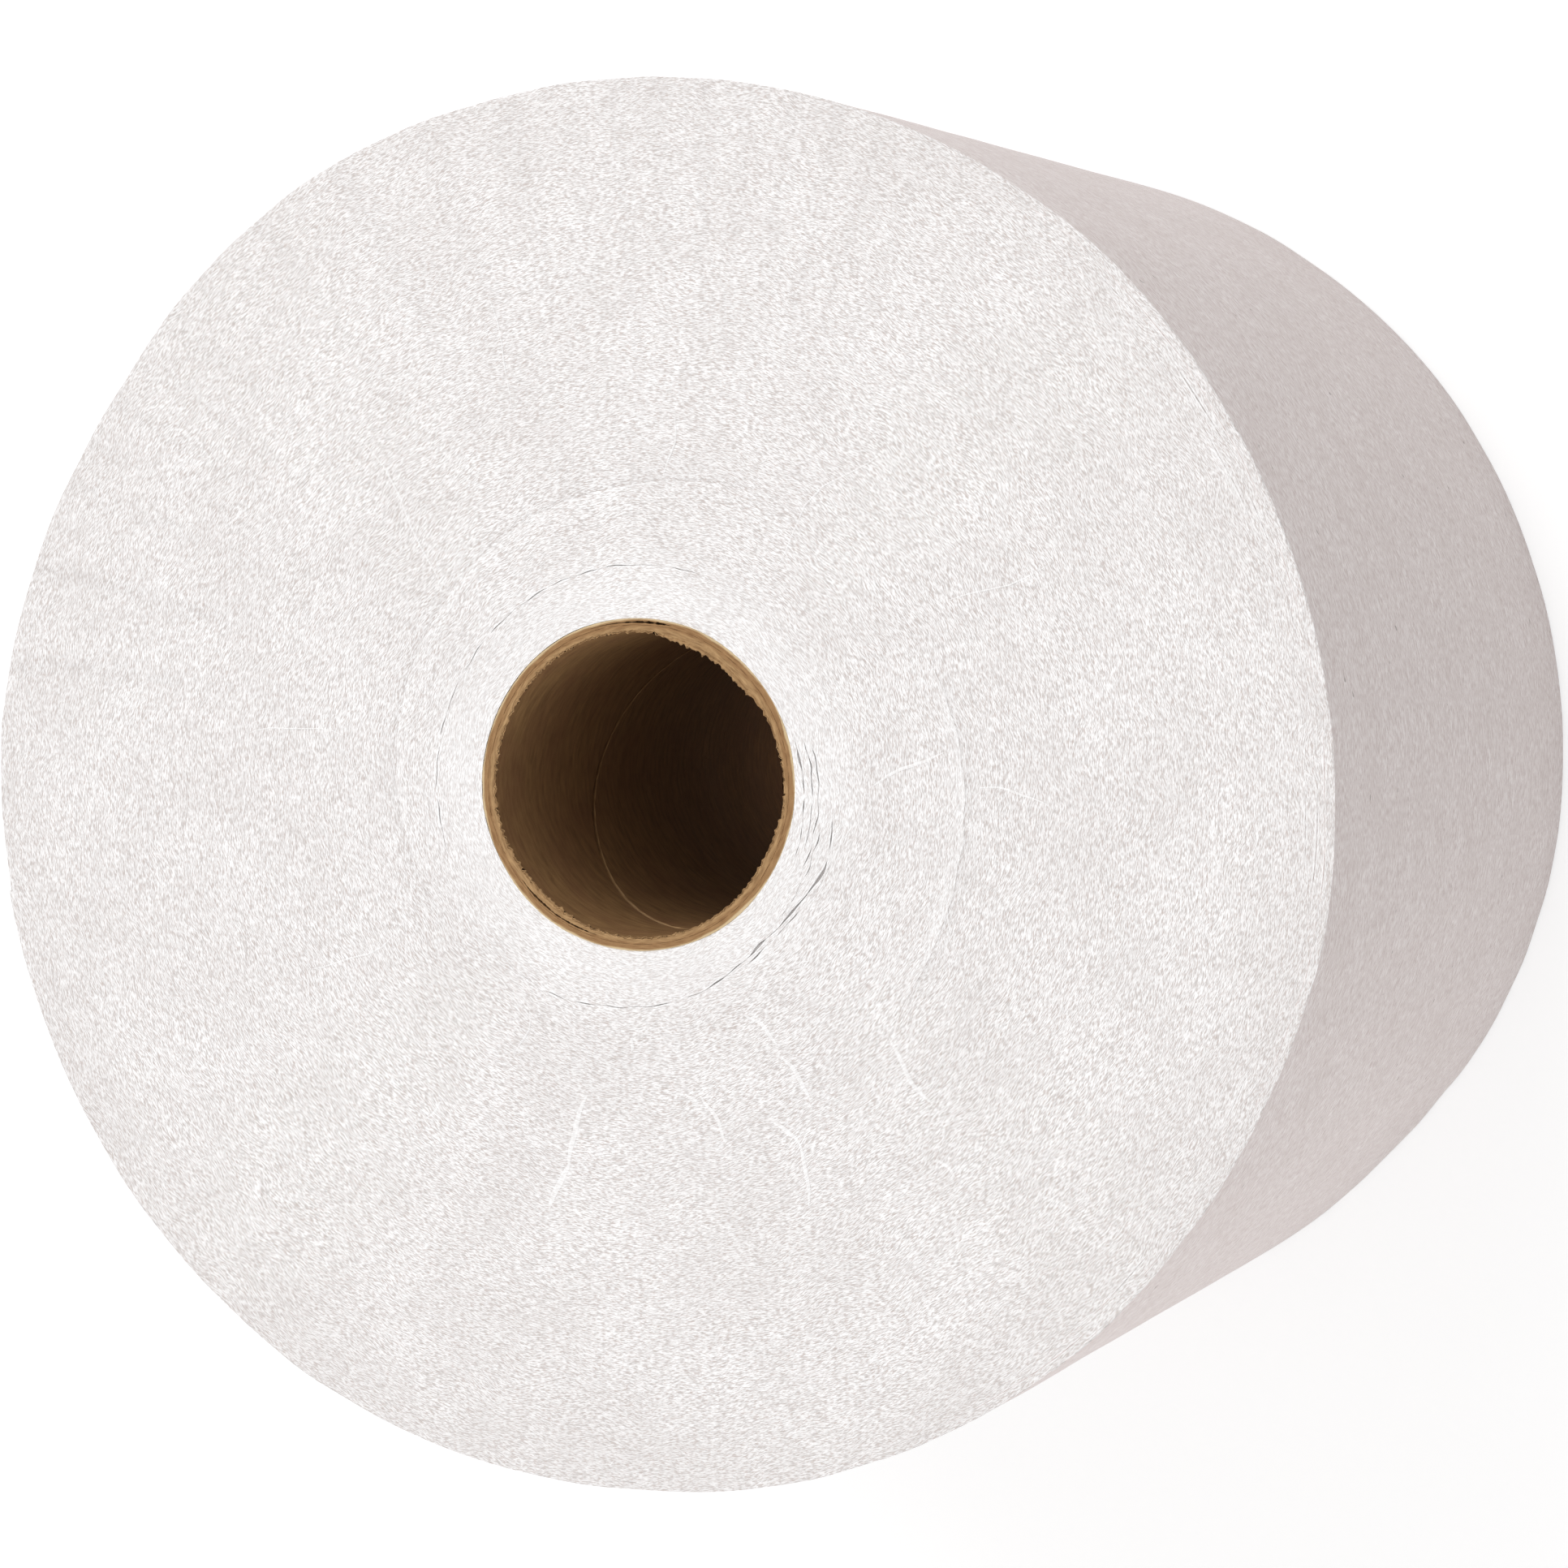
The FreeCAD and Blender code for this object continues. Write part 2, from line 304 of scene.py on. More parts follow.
rim_top = HEIGHT - RIM_BEVEL
profile = [(radius, HEIGHT) for radius in top_rings]
profile += [(ROLL_RADIUS - RIM_BEVEL * 0.3, HEIGHT - RIM_BEVEL * 0.3)]
side_heights = [rim_top] + [rim_top - depth for depth in NEAR_RIM]
side_heights += list(np.linspace(rim_top - SIDE_MARGIN, RIM_BEVEL + SIDE_MARGIN, SIDE_RINGS))
side_heights += [RIM_BEVEL + depth for depth in reversed(NEAR_RIM)] + [RIM_BEVEL]
profile += [(ROLL_RADIUS, float(height)) for height in side_heights]
profile += [(ROLL_RADIUS - RIM_BEVEL * 0.3, RIM_BEVEL * 0.3)]
profile += [(float(radius), 0.0)
            for radius in np.linspace(ROLL_RADIUS - RIM_BEVEL, HOLE_RADIUS, LOWER_RINGS)]
winding = turned_profile("winding", profile, SEGMENTS)
print("winding", len(profile), "rings", len(winding.data.vertices), "vertices")

# %% [markdown]
# Now the template is shaped. The outline comes first. The roll is out of round by a millimetre
# or two, because it has been leant on: both rims have a flat where it touched, at the left of
# the upper one and at the right of the lower one. The last turn ends in a small step on the side
# away from the camera. Two columns of vertices are drawn together there, so that the cut edge of
# the web is sharp.

# %% The outline of the wound web
LOOSE_END_ANGLE = 100.0
LOOSE_END_STEP = 0.4
HALF_CUT = 0.02
RIPPLE = 0.05
UPPER_RIM = [
    (0, 115.1), (12, 115.65), (24, 115.0), (40, 115.0), (50, 115.5), (80, 115.2), (90, 114.75),
    (104, 115.1), (120, 115.1), (130, 114.8), (158, 114.85), (168, 115.3), (184, 115.6), (192, 115.0),
    (200, 114.3), (208, 113.6), (216, 113.3), (224, 114.05), (232, 114.4), (240, 114.8), (248, 114.5),
    (256, 114.1), (280, 114.1), (304, 114.4), (314, 114.7), (328, 114.3), (345, 114.5),
]
LOWER_RIM = [
    (0, 114.2), (8, 114.4), (22, 114.2), (30, 113.9), (36, 113.2), (42, 113.0), (47, 113.05),
    (55, 113.9), (65, 114.7), (90, 115.0), (200, 115.0), (280, 114.9), (300, 114.6), (325, 114.4),
    (342, 114.0), (355, 114.05),
]

template = read_places(winding)
flat_radius = np.hypot(template[:, 0], template[:, 1])
model_angle = np.degrees(np.arctan2(template[:, 1], template[:, 0])) % 360.0
column = np.round(model_angle / 360.0 * SEGMENTS)
before_end = math.floor(LOOSE_END_ANGLE / 360.0 * SEGMENTS)
uneven_cut = 0.25 * np.sin(template[:, 2] * 0.11 + 1.0) + 0.1 * np.sin(template[:, 2] * 0.37)
model_angle = np.where(column == before_end, LOOSE_END_ANGLE + uneven_cut - HALF_CUT, model_angle)
model_angle = np.where(column == before_end + 1, LOOSE_END_ANGLE + uneven_cut + HALF_CUT, model_angle)
picture_angle = swap_angle(model_angle)
height_share = template[:, 2] / HEIGHT
outline = through(UPPER_RIM, picture_angle) * height_share
outline += through(LOWER_RIM, picture_angle) * (1 - height_share)
outline += RIPPLE * waver(picture_angle, 20, 60, seed=1)
wound_on = ((LOOSE_END_ANGLE - model_angle) % 360.0) / 360.0
wound_on = np.where(column == before_end, 0.0, np.where(column == before_end + 1, 1.0, wound_on))
outline += LOOSE_END_STEP * (wound_on - 0.5)
outline = np.minimum(outline, ROLL_RADIUS)
print("outline from", round(outline.min(), 2), "to", round(outline.max(), 2))

# %% [markdown]
# Every ring then moves to its place between the guides. Going outwards, each guide says which
# template radius it stands at and which real radius it has at each angle. The first turns lie
# close to the core, and stand off by 0.1 mm at its left.

# %% Real radius of each guide
CLOSE_FIT, STAND_OFF = 0.02, 0.1
THINNEST = 0.02
FULLY_OPEN = 0.12

loose_on_core = CLOSE_FIT + STAND_OFF * fade(picture_angle, 140, 172, 240, 262)
guides = [(HOLE_RADIUS, core_outline(picture_angle) + loose_on_core)]
depth_below = np.zeros_like(outline)
whitened = np.zeros_like(outline)
slit_floor_painted_shade = np.zeros_like(outline)
for number, slit in enumerate(SLITS):
    wander = 0.1 * waver(picture_angle, 18, 50, seed=30 + number)
    ragged = 1.0 + 0.8 * waver(picture_angle, 14, 50, seed=50 + number)
    middle = through(slit["path"], picture_angle) + wander
    outer_share = np.clip((middle - PLAIN_TEMPLATE) / (ROLL_RADIUS - PLAIN_TEMPLATE), 0, 1)
    middle = middle + (outline - ROLL_RADIUS) * outer_share
    half = through(slit["width"], picture_angle) * np.clip(ragged, 0.0, 1.9) / 2 + THINNEST
    for side, lip_gap in ((-LIP, -half), (-FLOOR, -half * 0.5), (FLOOR, half * 0.5), (LIP, half)):
        guides.append((slit["template"] + side, middle + lip_gap))
    open_share = np.clip((half - THINNEST) / FULLY_OPEN, 0.0, 1.0)
    off_middle = np.abs(flat_radius - slit["template"])
    on_floor = off_middle < (LIP + FLOOR) / 2
    depth_below += np.where(on_floor, slit["depth"] * open_share, 0.0)
    # The slit's floor gets painted shade, as much as the slit is open.
    slit_floor_painted_shade += np.where(on_floor, slit["shade"] * open_share, 0.0)
    on_lip = np.abs(off_middle - LIP) < (LIP - FLOOR) / 2
    whitened = np.where(on_lip, open_share, whitened)
band = through(BAND_PATH, picture_angle) + 0.1 * waver(picture_angle, 20, 60, seed=6)
guides += [(BAND_TEMPLATE - FLOOR, band - FLOOR), (BAND_TEMPLATE + FLOOR, band + FLOOR)]
guides += [(PLAIN_TEMPLATE, np.full_like(outline, PLAIN_TEMPLATE))]
guides += [(ROLL_RADIUS - RIM_BEVEL, outline - RIM_BEVEL), (ROLL_RADIUS, outline)]
guides.sort(key=lambda guide: guide[0])
print("guides", len(guides), "slits open at", int((depth_below > 0.2).sum()), "vertices")

# %% Move the rings to their guides
real_radius = flat_radius.copy()
for (low_at, low_radius), (high_at, high_radius) in zip(guides, guides[1:]):
    inside = (flat_radius >= low_at - 0.003) & (flat_radius <= high_at + 0.003)
    share = (flat_radius - low_at) / (high_at - low_at)
    real_radius = np.where(inside, low_radius + share * (high_radius - low_radius), real_radius)
on_upper = template[:, 2] > HEIGHT - RIM_BEVEL * 0.5
on_lower = template[:, 2] < RIM_BEVEL * 0.5
on_end = on_upper | on_lower
outward = np.stack([np.cos(np.radians(model_angle)), np.sin(np.radians(model_angle))], axis=1)
spread = np.clip((flat_radius - PLAIN_TEMPLATE) / (ROLL_RADIUS - PLAIN_TEMPLATE), 0, 1)
plain_radius = flat_radius + (outline - ROLL_RADIUS) * spread
real_radius = np.where(on_lower, plain_radius, real_radius)
print("largest move of a ring", round(float(np.abs(real_radius - flat_radius).max()), 1), "mm")

# %% [markdown]
# The relief of the ends comes last: turns that slipped along the core by a tenth or two, the
# step of the band edge, and the lips of the slits, which stand a little proud because they are
# torn. The end lies 0.3 mm low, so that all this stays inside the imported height.

# %% Relief of the two ends
END_DROP = 0.32
BAND_STEP = 0.1

polar_place = np.stack([outward[:, 0] * 30, outward[:, 1] * 30, real_radius * 4], axis=1)
slipped = 0.06 * unevenness(polar_place, 30.0, seed=7) + 0.05 * unevenness(polar_place, 9.0, seed=8)
flat_place = np.column_stack([outward * real_radius[:, None], template[:, 2]])
slipped += 0.04 * unevenness(flat_place, 14.0, seed=9)
inside_band = (flat_radius < BAND_TEMPLATE) * fade(picture_angle, 130, 170, 395, 412)
lip_height = 0.08 + 0.06 * waver(picture_angle, 60, 180, seed=12)
relief = slipped + BAND_STEP * inside_band + whitened * lip_height
upper_height = HEIGHT - END_DROP + relief - depth_below
lower_height = END_DROP * 0.5 - slipped
lowered = END_DROP - relief[on_upper]
print("turns end", round(float(lowered.min()), 2), "to", round(float(lowered.max()), 2), "mm low")

# %% Write the winding's shape
side_place = np.column_stack([outward * ROLL_RADIUS, template[:, 2]])
side_wave = 0.05 * unevenness(side_place, 35.0, seed=10) * (1 - on_end)
ragged_rim = 0.1 * waver(picture_angle, 60, 200, seed=11) * (flat_radius > ROLL_RADIUS - 1)
final_height = np.where(on_upper, upper_height, np.where(on_lower, lower_height, template[:, 2]))
final_height = final_height + ragged_rim * on_end
final_radius = np.minimum(real_radius + side_wave - np.abs(ragged_rim) * on_end, ROLL_RADIUS)
places = np.column_stack([outward * final_radius[:, None], np.clip(final_height, 0.0, HEIGHT)])
write_places(winding, places)
print("winding radius up to", round(float(final_radius.max()), 2))

# %% [markdown]
# Torn lips look white, because their fibres stand up. The band edge is paler inside, where
# painted light lies on the higher turns, and greyer outside, where a painted shade stands for
# the faint shade that the step throws. The slits' floors get painted shade too. Two numbers on
# each vertex carry this to the material, as vertex paint would: one whitens, for the torn lips
# and the painted light, and one darkens, for the painted shade. Faint streaks that point at the
# core show where the saw's blade swept over the outer turns. On the curved side the same two
# numbers mark the web's loose end: a frayed white edge, and painted shade at its foot.

# %% Paint the torn and the shaded places
PALE_REACH, DARK_REACH = 2.5, 1.2

band_seen = fade(picture_angle, 330, 350, 390, 403) + 0.7 * fade(picture_angle, 135, 165, 270, 300)
from_band = real_radius - band
band_light = np.where(from_band < 0, np.exp(np.minimum(from_band, 0) / PALE_REACH), 0.0) * band_seen
band_shade = np.where(from_band >= 0, np.exp(-np.maximum(from_band, 0) / DARK_REACH), 0.0) * band_seen
streaks = waver(picture_angle + real_radius * 0.05, 40, 95, seed=13)
streaks *= np.clip((real_radius - 60) / 30, 0, 1) * fade(picture_angle, 150, 200, 300, 340)
# Whitening: torn lips, painted light inside the band edge, and streaks. Darkening: painted shade on the
# slits' floors and outside the band edge, and streaks.
white_and_painted_light = np.maximum.reduce([whitened, 0.4 * band_light, 0.1 * streaks])
shaded_paint = np.maximum.reduce([slit_floor_painted_shade, 0.2 * band_shade, -0.06 * streaks])
# On the side: white along the loose end's frayed edge, and painted shade at its foot.
white_and_painted_light = np.where(on_upper, white_and_painted_light, 0.9 * (column == before_end + 1) * ~on_end)
shaded_paint = np.where(on_upper, shaded_paint, 0.9 * (column == before_end) * ~on_end)
for paint_name, paint in (("whitened", white_and_painted_light), ("shaded", shaded_paint)):
    marks = winding.data.attributes.new(paint_name, "FLOAT", "POINT")
    marks.data.foreach_set("value", np.clip(paint, 0, 1))
painted = [int((paint > 0.2).sum()) for paint in (white_and_painted_light, shaded_paint)]
print("painted vertices, torn and shaded:", painted)

# %% [markdown]
# Fibres that the saw has pulled out lie loose on the end, and a few wrinkles run across the
# turns where the roll was squeezed. Each is a thin strand that tapers at both ends. A sphere
# stretched along a path has just that shape. A picture's polar view gave the paths: they run
# from one (angle, radius) to another, and bend a little.

# %% Draw one strand
HIGHEST_STRAND = 0.13


def strand(start, end, bend, width, whiteness, surface, seed):
    """A whitish strand that lies on the surface, from one (picture angle, radius) to another."""
    bpy.ops.object.select_all(action="DESELECT")
    bpy.ops.mesh.primitive_uv_sphere_add(segments=5, ring_count=9, radius=MM, location=(0, 0, 0))
    piece = bpy.context.object
    local = read_places(piece)
    along = (local[:, 2] + 1) / 2
    angle = start[0] + (end[0] - start[0]) * along
    reach = start[1] + (end[1] - start[1]) * along
    turned = np.radians(swap_angle(angle))
    middle = np.column_stack([np.cos(turned) * reach, np.sin(turned) * reach])
    chord = middle[along.argmax()] - middle[along.argmin()]
    length = np.linalg.norm(chord)
    aside = np.array([-chord[1], chord[0]]) / length
    wave = np.sin(along * math.pi) + 0.25 * np.sin(along * 9 + seed)
    flat = middle + aside * (bend * length * wave + local[:, 0] * width / 2)[:, None]
    heights = []
    for x, y in middle + aside * (bend * length * wave)[:, None]:
        found, hit, _, _ = surface.ray_cast(Vector((x, y, HEIGHT + 5)) * MM, Vector((0, 0, -1)))
        heights.append(hit.z / MM if found else HEIGHT - END_DROP)
    height = np.array(heights) + local[:, 1] * min(width / 2, HIGHEST_STRAND)
    write_places(piece, np.column_stack([flat, np.minimum(height, HEIGHT)]))
    marks = piece.data.attributes.new("whitened", "FLOAT", "POINT")
    marks.data.foreach_set("value", np.full(len(flat), whiteness))
    return piece


def join_into(target, pieces):
    """Joins the pieces into the target, which keeps its name."""
    bpy.ops.object.select_all(action="DESELECT")
    for piece in pieces:
        piece.select_set(True)
    target.select_set(True)
    bpy.context.view_layer.objects.active = target
    bpy.ops.object.join()
    print(target.name, "now has", len(target.data.polygons), "faces")


print("a strand is a stretched sphere")

# %% Wrinkles and loose fibres
WRINKLES = [
    (99.9, 51.6, 100.8, 64, 0.8), (100.7, 63, 102.6, 71.5, 0.9), (91.7, 41.2, 91.4, 43.5, 0.5),
    (77.9, 51.3, 75.2, 59.6, 0.6), (63.4, 41.1, 60.0, 48, 0.6), (60.2, 50, 59.6, 58, 0.7),
    (66.7, 58.8, 64.1, 63.5, 0.7), (64.2, 63, 66.5, 73.5, 0.6), (42.6, 58.4, 45.2, 70.9, 0.7),
    (49.2, 77.9, 48.8, 82, 0.5), (123.8, 67, 123.4, 63, 0.4), (359.4, 39.8, 353.7, 52.4, 0.5),
    (359.6, 57.9, 362.1, 69.1, 0.35), (18.3, 55.3, 21.8, 56.9, 0.3), (222, 46, 229.5, 76, 0.3),
    (275, 50, 276.5, 60, 0.3), (304, 42, 308, 68, 0.3), (117, 41, 116, 50, 0.3), (150, 48, 152, 66, 0.3),
    (188, 52, 186, 70, 0.25), (250, 64, 252, 84, 0.25), (330, 60, 333, 78, 0.25),
    (358.0, 110.3, 358.6, 111.6, 0.3), (355.7, 97.2, 356.8, 97.9, 0.3),
]
WRINKLE_WIDENING, WRINKLE_WHITENESS = 1.15, 0.6
LOOSE_FIBRES = 170
FIBRE_WIDTH, FIBRE_WHITENESS = 0.18, 0.8

random = np.random.default_rng(60)
strands = []
for number, (start, inner, end, outer, width) in enumerate(WRINKLES):
    bend = random.uniform(0.04, 0.1) * random.choice([-1, 1])
    width *= WRINKLE_WIDENING
    wrinkle = strand((start, inner), (end, outer), bend, width, WRINKLE_WHITENESS, winding, number)
    strands.append(wrinkle)
for number in range(LOOSE_FIBRES):
    angle, radius = random.uniform(0, 360), math.sqrt(random.uniform(30.0 ** 2, 112.5 ** 2))
    reach, turn = random.uniform(0.8, 2.2), random.normal(0, 0.45)
    swing = math.degrees(reach * math.cos(turn) / radius)
    far = (angle + swing, radius + reach * math.sin(turn))
    bend = random.uniform(-0.1, 0.1)
    fibre = strand((angle, radius), far, bend, FIBRE_WIDTH, FIBRE_WHITENESS, winding, number)
    strands.append(fibre)
join_into(winding, strands)

# %% [markdown]
# ## The core
#
# The real core is made of a few strips of kraft board, wound as a spiral and glued. A saw cut it
# to length together with the towelling, so its end shows the plies as fine rings, and the blade
# has pushed a ragged burr over its inner edge. In two places the plies have come apart. The
# core is turned from a profile too. Its columns then follow the strip's spiral, so that the
# seam of the innermost ply is one crisp groove from end to end.

# %% What the picture shows of the core's end, as (picture angle, millimetres)
BURR = [
    (0, -0.35), (11, -0.35), (14, 0.15), (30, 0.3), (50, 0.2), (75, 0.0), (100, 0.05), (113, 0.25),
    (124, 0.65), (139, 0.65), (150, 0.35), (160, 0.15), (180, 0.2), (200, 0.1), (230, 0.1), (262, 0.1),
    (277, 0.15), (282, 0.75), (292, 1.1), (306, 0.95), (316, 1.25), (324, 0.7), (331, 0.25), (350, 0.0),
]
PLY_SLITS = [
    {
        "template": 25.65,
        "width": [(106, 0.0), (114, 0.2), (124, 0.12), (132, 0.3), (142, 0.0)],
        "depth": 1.6,
    },
    {
        "template": 26.5,
        "width": [(252, 0.0), (264, 0.08), (273, 0.3), (280, 0.22), (283, 0.0)],
        "depth": 1.8,
    },
]
PLY_JOINTS = [25.15, 26.05]
print("burr of up to", max(value for _, value in BURR), "mm")

# %% Turn the core's template
CORE_SEGMENTS = 720
END_SKIN = [0.25, 0.6, 1.2, 2.5, 5.0]
WALL_RINGS = 80
LIP_NEAR, FLOOR_NEAR = 0.03, 0.01

ply_rings = [BORE_RADIUS, BORE_RADIUS + 0.4, BORE_RADIUS + 1.3, BORE_RADIUS + 1.85, CORE_RADIUS]
for joint in PLY_JOINTS:
    ply_rings += [joint - LIP_NEAR, joint, joint + LIP_NEAR]
for slit in PLY_SLITS:
    ply_rings += [slit["template"] + side for side in (-LIP_NEAR, -FLOOR_NEAR, FLOOR_NEAR, LIP_NEAR)]
ply_rings = sorted(ply_rings)
wall = [HEIGHT - depth for depth in END_SKIN]
wall += [float(h) for h in np.linspace(HEIGHT - END_SKIN[-1], END_SKIN[-1], WALL_RINGS)[1:-1]]
wall += END_SKIN[::-1]
profile = [(radius, HEIGHT) for radius in reversed(ply_rings)]
profile += [(BORE_RADIUS, height) for height in wall]
profile += [(radius, 0.0) for radius in ply_rings]
profile += [(CORE_RADIUS, height) for height in (0.5, HEIGHT / 2, HEIGHT - 0.5)]
core = turned_profile("core", profile, CORE_SEGMENTS)
print("core", len(profile), "rings", len(core.data.vertices), "vertices")

# %% [markdown]
# The seam rises as a right-hand helix. Each ring of the template is turned by its height's
# share of the pitch, which leaves a round tube's shape as it was and only slants its columns.

# %% Slant the columns along the spiral and shape the end
SEAM_PITCH = 100.0
SEAM_START = 247.0
SEAM_DEPTH = 0.35
SEAM_HALF_WIDTH = 1.0

template = read_places(core)
flat_radius = np.hypot(template[:, 0], template[:, 1])
column_angle = np.degrees(np.arctan2(template[:, 1], template[:, 0])) % 360.0
model_angle = (column_angle + SEAM_START + 360.0 * template[:, 2] / SEAM_PITCH) % 360.0
picture_angle = swap_angle(model_angle)
from_seam = np.radians((column_angle + 180.0) % 360.0 - 180.0) * BORE_RADIUS
on_upper = template[:, 2] > HEIGHT - 0.01
on_lower = template[:, 2] < 0.01
on_bore = (flat_radius < BORE_RADIUS + 0.01) & ~on_upper & ~on_lower
outward = np.stack([np.cos(np.radians(model_angle)), np.sin(np.radians(model_angle))], axis=1)
round_fault = core_outline(picture_angle) - CORE_RADIUS
fuzz = 0.15 * waver(picture_angle, 50, 140, seed=21) + 0.12 * waver(picture_angle, 140, 300, seed=22)
upper_burr = through(BURR, picture_angle) + fuzz
lower_burr = 0.25 + 0.25 * waver(picture_angle, 3, 12, seed=23) + fuzz[::-1]
burr = np.where(template[:, 2] > HEIGHT / 2, upper_burr, np.clip(lower_burr, 0, 0.8))
end_depth = np.minimum(template[:, 2], HEIGHT - template[:, 2])
lip_share = np.interp(end_depth, [0.0, 0.25, 0.6, 1.2], [1.0, 0.8, 0.12, 0.0])
lip_share *= np.clip((BORE_RADIUS + 0.6 - flat_radius) / 0.6, 0, 1)
print("seam turns", round(HEIGHT / SEAM_PITCH, 2), "times")

# %% Write the core's shape
opened = np.zeros_like(flat_radius)
aside = np.zeros_like(flat_radius)
for slit in PLY_SLITS:
    half = through(slit["width"], picture_angle) / 2 * np.clip(1 + 3 * fuzz, 0.4, 1.8)
    off_middle = flat_radius - slit["template"]
    near = np.abs(off_middle) < LIP_NEAR * 1.2
    is_lip = near & (np.abs(off_middle) > (LIP_NEAR + FLOOR_NEAR) / 2)
    aside += np.where(near, np.sign(off_middle) * half * np.where(is_lip, 1.0, 0.7), 0.0)
    opened += np.where(near & ~is_lip, slit["depth"] * np.clip(half / 0.06, 0, 1), 0.0)
for joint in PLY_JOINTS:
    in_joint = np.abs(flat_radius - joint) < 0.005
    opened += np.where(in_joint, 0.12 + 0.1 * waver(picture_angle, 20, 90, seed=24), 0.0)
groove = np.clip(1 - np.abs(from_seam) / SEAM_HALF_WIDTH, 0, 1) ** 0.5 * SEAM_DEPTH
bore_place = np.column_stack([outward * BORE_RADIUS, template[:, 2]])
board_wave = 0.05 * unevenness(bore_place, 18.0, seed=25)
radius = flat_radius + round_fault + aside - burr * lip_share
radius += np.where(on_bore, groove + board_wave, 0.0)
sawn = 0.07 * unevenness(np.column_stack([outward * 30, flat_radius * 3]), 4.0, seed=26)
sawn += 0.05 * unevenness(np.column_stack([outward * 120, flat_radius * 3]), 3.0, seed=27)
droop = (0.12 + 0.3 * np.clip(burr, 0, 1)) * np.clip((BORE_RADIUS + 0.4 - flat_radius) / 0.4, 0, 1)
fall = 0.2 + sawn + droop + opened
height = np.where(on_upper, HEIGHT - fall, np.where(on_lower, fall, template[:, 2]))
radius = np.minimum(radius, CORE_RADIUS)
write_places(core, np.column_stack([outward * radius[:, None], np.clip(height, 0, HEIGHT)]))
in_groove = np.clip(1 - np.abs(from_seam) / SEAM_HALF_WIDTH, 0, 1)
# Painted shade in the seam's groove over one part of the bore, and a painted highlight on its edge over
# another.
seam_painted_shade = in_groove * fade(picture_angle, 135, 160, 310, 350)
seam_painted_highlight = np.clip(1 - np.abs(from_seam - 0.9) / 0.7, 0, 1) * fade(picture_angle, 30, 60, 120, 145)
marks = core.data.attributes.new("seam_shade_and_highlight", "FLOAT", "POINT")
marks.data.foreach_set("value", (seam_painted_shade - seam_painted_highlight) * on_bore)
print("core bore narrowest", round(float(radius.min()), 2), "mm in radius")

# %% [markdown]
# ## Materials
#
# One function turns a written colour to Blender's linear one. Another adds a node: its
# properties are given by name, and each input gets a value or the socket that feeds it.

# %% Colours and nodes
def linear(written):
    """An sRGB hex colour such as "C0A080" as linear red, green, blue and a full alpha."""
    parts = [int(written[i:i + 2], 16) / 255.0 for i in (0, 2, 4)]
    return tuple(p / 12.92 if p <= 0.04045 else ((p + 0.055) / 1.055) ** 2.4 for p in parts) + (1.0,)


def add_node(tree, kind, inputs, **settings):
    """Adds one node with its settings, and feeds each input with a value or a socket."""
    node = tree.nodes.new(kind)
    for name, value in settings.items():
        setattr(node, name, value)
    for socket, value in inputs.items():
        if isinstance(value, bpy.types.NodeSocket):
            tree.links.new(value, node.inputs[socket])
        else:
            node.inputs[socket].default_value = value
    return node


def start_material(name, roughness, specular):
    """A material with a bare shader, its node tree and its shader."""
    material = bpy.data.materials.new(name)
    material.use_nodes = True
    shader = material.node_tree.nodes["Principled BSDF"]
    shader.inputs["Roughness"].default_value = roughness
    shader.inputs["IOR"].default_value = 1.5
    shader.inputs["Specular IOR Level"].default_value = specular
    return material, material.node_tree, shader


print("white is", linear("FFFFFF")[:3])

# %% [markdown]
# ### Sawn tissue
#
# The ends are creped, bleached tissue cut by a log saw. The eye sees no single turn: it sees
# short white fibres that lie nearly along the turns, with soft grey gaps between them, because
# each turn is only 0.11 mm thick and the blade has torn the turns together. So the grain is
# noise that is stretched along the circle. Its first two coordinates are x and y, which change
# slowly, and the third is the distance from the axis, which changes fast. A broad noise moves
# that distance, so that the straight, short fibres lie up to about 20 degrees off the turns.
# The real fibres are 0.03 mm thick. They are drawn as strands of 0.07 mm, because finer ones
# would not show.

# %% Fibre grain and stains
def from_axis(tree, place):
    """The place without its height, and its distance from the core's axis."""
    flat = add_node(tree, "ShaderNodeVectorMath", {0: place, 1: (1.0, 1.0, 0.0)}, operation="MULTIPLY")
    flat = flat.outputs["Vector"]
    radius = add_node(tree, "ShaderNodeVectorMath", {0: flat}, operation="LENGTH")
    return flat, radius.outputs["Value"]


def fibre_grain(tree, place, length, thickness, slant, seed):
    """Noise of strands of this length and thickness in millimetres, lying round the axis."""
    flat, radius = from_axis(tree, place)
    apart = add_node(tree, "ShaderNodeVectorMath", {0: flat, 1: (seed, -seed, seed)}, operation="ADD")
    broad = add_node(tree, "ShaderNodeTexNoise", {
        "Vector": apart.outputs["Vector"], "Scale": 1 / (9 * MM), "Detail": 0.0})
    slanted = add_node(tree, "ShaderNodeMath", {0: broad.outputs["Fac"], 1: slant * MM, 2: radius},
                       operation="MULTIPLY_ADD")
    across = add_node(tree, "ShaderNodeMath", {0: slanted.outputs["Value"], 1: 0.5 / (thickness * MM)},
                      operation="MULTIPLY")
    along = add_node(tree, "ShaderNodeVectorMath", {0: flat, "Scale": 0.5 / (length * MM)},
                     operation="SCALE")
    lift = add_node(tree, "ShaderNodeCombineXYZ", {"X": seed, "Y": -seed, "Z": across.outputs["Value"]})
    drawn = add_node(tree, "ShaderNodeVectorMath", {0: along.outputs["Vector"], 1: lift.outputs["Vector"]},
                     operation="ADD")
    noise = add_node(tree, "ShaderNodeTexNoise", {
        "Vector": drawn.outputs["Vector"], "Scale": 1.0, "Detail": 1.0, "Roughness": 0.5})
    return noise.outputs["Fac"]


